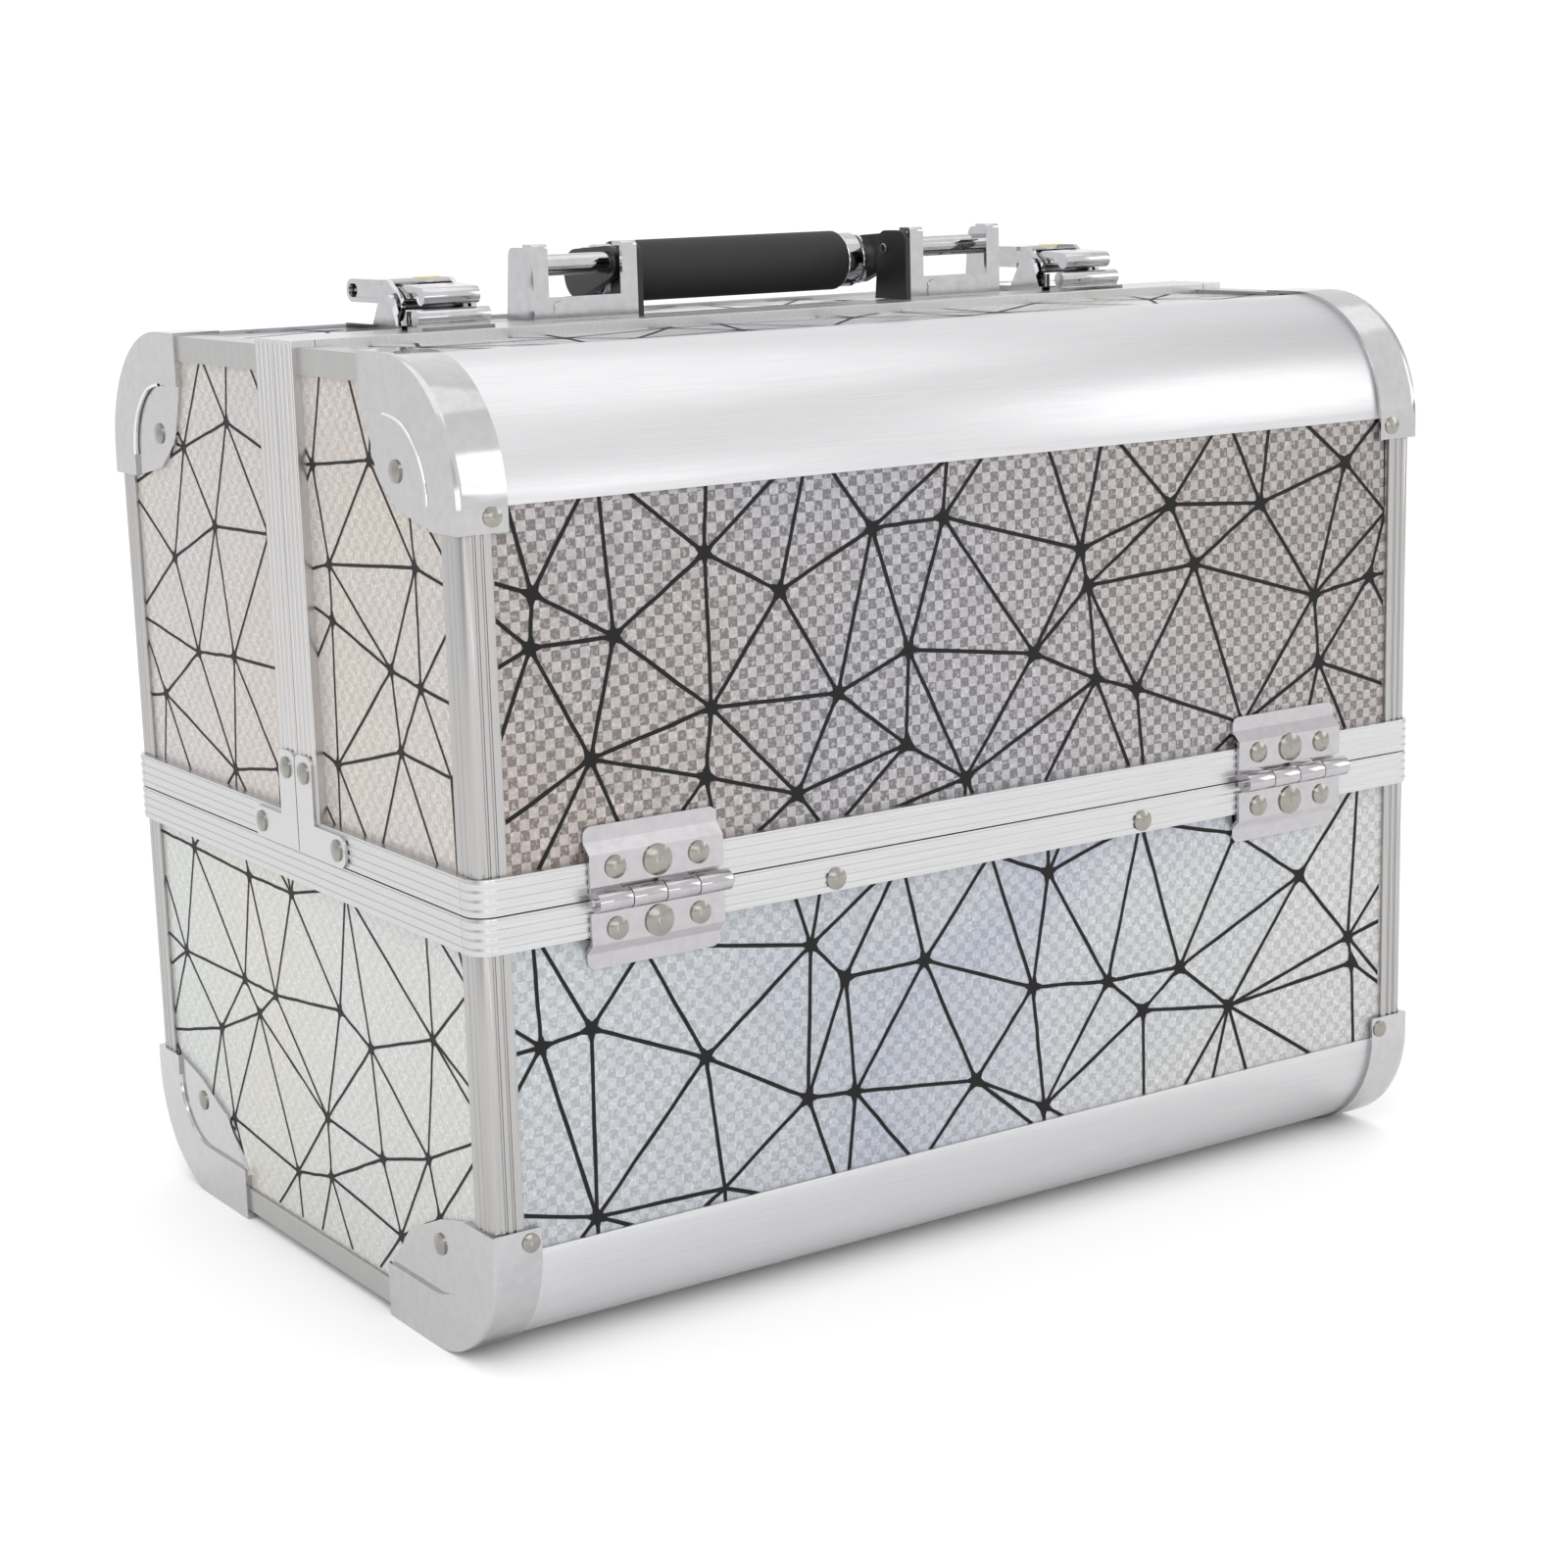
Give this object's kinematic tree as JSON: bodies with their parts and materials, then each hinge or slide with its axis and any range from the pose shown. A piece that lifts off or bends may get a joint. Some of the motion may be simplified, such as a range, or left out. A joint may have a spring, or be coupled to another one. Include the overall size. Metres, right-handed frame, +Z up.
{
  "type": "makeup train case",
  "caption": "Hinged-lid makeup train case with cantilever trays, aluminium edging, draw latches and a folding handle.",
  "frame": {"origin": "on the floor, under the middle of the case", "axes": "X along the case, -Y the front long side, +Z up"},
  "size_m": [0.3686, 0.2582, 0.318],
  "materials": {
    "laminate_board": "fibreboard faced with glossy patterned laminate outside and a black lining inside",
    "floor_board": "fibreboard with laminate",
    "aluminium_profile": "satin anodised extrusion",
    "ribbed_aluminium": "ribbed anodised extrusion",
    "chrome_cap": "pressed and chromed steel",
    "chrome_fitting": "polished chromed steel",
    "rivet": "nickel plated rivet heads",
    "steel_pin": "plain steel",
    "black_plastic": "moulded black plastic",
    "tray_plastic": "moulded black tray plastic",
    "grip_foam": "soft black grip sleeve",
    "foam_mat": "black foam mat"
  },
  "bodies": {
    "case_base": {"base_front_panel": "laminate_board", "base_rear_panel": "laminate_board", "base_end_panels": "laminate_board", "floor_panel": "floor_board", "floor_mat": "foam_mat", "base_bottom_profiles": "aluminium_profile", "base_edge_profiles": "ribbed_aluminium", "base_rim": "ribbed_aluminium", "base_corner_caps": "chrome_cap", "base_rivets": "rivet", "base_hinge_leaves": "chrome_fitting", "hinge_pins": "chrome_fitting", "arm_pivots": "steel_pin"},
    "front_lid": {"front_lid_panel": "laminate_board", "front_lid_top_panel": "laminate_board", "front_lid_end_panels": "laminate_board", "front_lid_curved_profile": "aluminium_profile", "front_lid_edge_profiles": "ribbed_aluminium", "front_lid_rim": "ribbed_aluminium", "front_lid_seam_frame": "ribbed_aluminium", "front_lid_corner_caps": "chrome_cap", "front_lid_seam_brackets": "chrome_cap", "front_lid_hinge_leaves": "chrome_fitting", "front_lid_rivets": "rivet", "front_lid_tray_pivots": "steel_pin", "latch_keepers": "chrome_fitting"},
    "rear_lid": {"rear_lid_panel": "laminate_board", "rear_lid_top_panel": "laminate_board", "rear_lid_end_panels": "laminate_board", "rear_lid_curved_profile": "aluminium_profile", "rear_lid_edge_profiles": "ribbed_aluminium", "rear_lid_rim": "ribbed_aluminium", "rear_lid_seam_frame": "ribbed_aluminium", "rear_lid_corner_caps": "chrome_cap", "rear_lid_seam_brackets": "chrome_cap", "rear_lid_hinge_leaves": "chrome_fitting", "rear_lid_rivets": "rivet", "rear_lid_tray_pivots": "steel_pin", "handle_brackets": "chrome_fitting", "handle_cheeks": "black_plastic", "handle_rods": "chrome_fitting", "latch_bases": "chrome_fitting", "latch_pins": "steel_pin", "lock_cylinders": "chrome_fitting"},
    "handle": {"handle_grip": "grip_foam", "handle_collars": "chrome_fitting", "handle_arms": "black_plastic"},
    "left_lever": {"left_latch_lever": "chrome_fitting"},
    "left_hook": {"left_latch_hook": "chrome_fitting"},
    "right_lever": {"right_latch_lever": "chrome_fitting"},
    "right_hook": {"right_latch_hook": "chrome_fitting"},
    "front_lower_tray_body": {"front_lower_tray": "tray_plastic"},
    "front_upper_tray_body": {"front_upper_tray": "tray_plastic"},
    "front_arms": {"front_tray_arms": "steel_pin", "front_arm_rivets": "steel_pin"},
    "rear_lower_tray_body": {"rear_lower_tray": "tray_plastic"},
    "rear_upper_tray_body": {"rear_upper_tray": "tray_plastic"},
    "rear_arms": {"rear_tray_arms": "steel_pin", "rear_arm_rivets": "steel_pin"}
  },
  "joints": [
    {"name": "front_lid_hinge", "type": "hinge", "parent": "case_base", "child": "front_lid", "pos_m": [0, -0.126, 0.138], "axis": [1, 0, 0], "range_deg": [0, 90]},
    {"name": "front_lower_tray_pivot", "type": "hinge", "parent": "front_lid", "child": "front_lower_tray_body", "pos_m": [0, -0.091, 0.183], "axis": [1, 0, 0], "range_deg": [-90, 0]},
    {"name": "front_upper_tray_pivot", "type": "hinge", "parent": "front_lid", "child": "front_upper_tray_body", "pos_m": [0, -0.056, 0.228], "axis": [1, 0, 0], "range_deg": [-90, 0]},
    {"name": "front_arm_pivot", "type": "hinge", "parent": "case_base", "child": "front_arms", "pos_m": [0, -0.096, 0.133], "axis": [1, 0, 0], "range_deg": [0, 90]},
    {"name": "rear_lid_hinge", "type": "hinge", "parent": "case_base", "child": "rear_lid", "pos_m": [0, 0.126, 0.138], "axis": [-1, 0, 0], "range_deg": [0, 90]},
    {"name": "rear_lower_tray_pivot", "type": "hinge", "parent": "rear_lid", "child": "rear_lower_tray_body", "pos_m": [0, 0.091, 0.183], "axis": [-1, 0, 0], "range_deg": [-90, 0]},
    {"name": "rear_upper_tray_pivot", "type": "hinge", "parent": "rear_lid", "child": "rear_upper_tray_body", "pos_m": [0, 0.056, 0.228], "axis": [-1, 0, 0], "range_deg": [-90, 0]},
    {"name": "rear_arm_pivot", "type": "hinge", "parent": "case_base", "child": "rear_arms", "pos_m": [0, 0.096, 0.133], "axis": [-1, 0, 0], "range_deg": [0, 90]},
    {"name": "handle_pivot", "type": "hinge", "parent": "rear_lid", "child": "handle", "pos_m": [0, 0.002, 0.311], "axis": [1, 0, 0], "range_deg": [0, 95]},
    {"name": "left_latch_lever_pivot", "type": "hinge", "parent": "rear_lid", "child": "left_lever", "pos_m": [-0.125, -0.002, 0.301], "axis": [1, 0, 0], "range_deg": [0, 55]},
    {"name": "left_latch_hook_pivot", "type": "hinge", "parent": "left_lever", "child": "left_hook", "pos_m": [-0.125, 0.002, 0.302], "axis": [1, 0, 0], "range_deg": [-70, 0]},
    {"name": "right_latch_lever_pivot", "type": "hinge", "parent": "rear_lid", "child": "right_lever", "pos_m": [0.125, -0.002, 0.301], "axis": [1, 0, 0], "range_deg": [0, 55]},
    {"name": "right_latch_hook_pivot", "type": "hinge", "parent": "right_lever", "child": "right_hook", "pos_m": [0.125, 0.002, 0.302], "axis": [1, 0, 0], "range_deg": [-70, 0]}
  ],
  "couplings": [
    {"joint": "front_lower_tray_pivot", "follows": "front_lid_hinge", "ratio": -1},
    {"joint": "front_upper_tray_pivot", "follows": "front_lid_hinge", "ratio": -1},
    {"joint": "front_arm_pivot", "follows": "front_lid_hinge", "ratio": 1},
    {"joint": "rear_lower_tray_pivot", "follows": "rear_lid_hinge", "ratio": -1},
    {"joint": "rear_upper_tray_pivot", "follows": "rear_lid_hinge", "ratio": -1},
    {"joint": "rear_arm_pivot", "follows": "rear_lid_hinge", "ratio": 1},
    {"joint": "left_latch_hook_pivot", "follows": "left_latch_lever_pivot", "ratio": -1.2},
    {"joint": "right_latch_hook_pivot", "follows": "right_latch_lever_pivot", "ratio": -1.2}
  ]
}
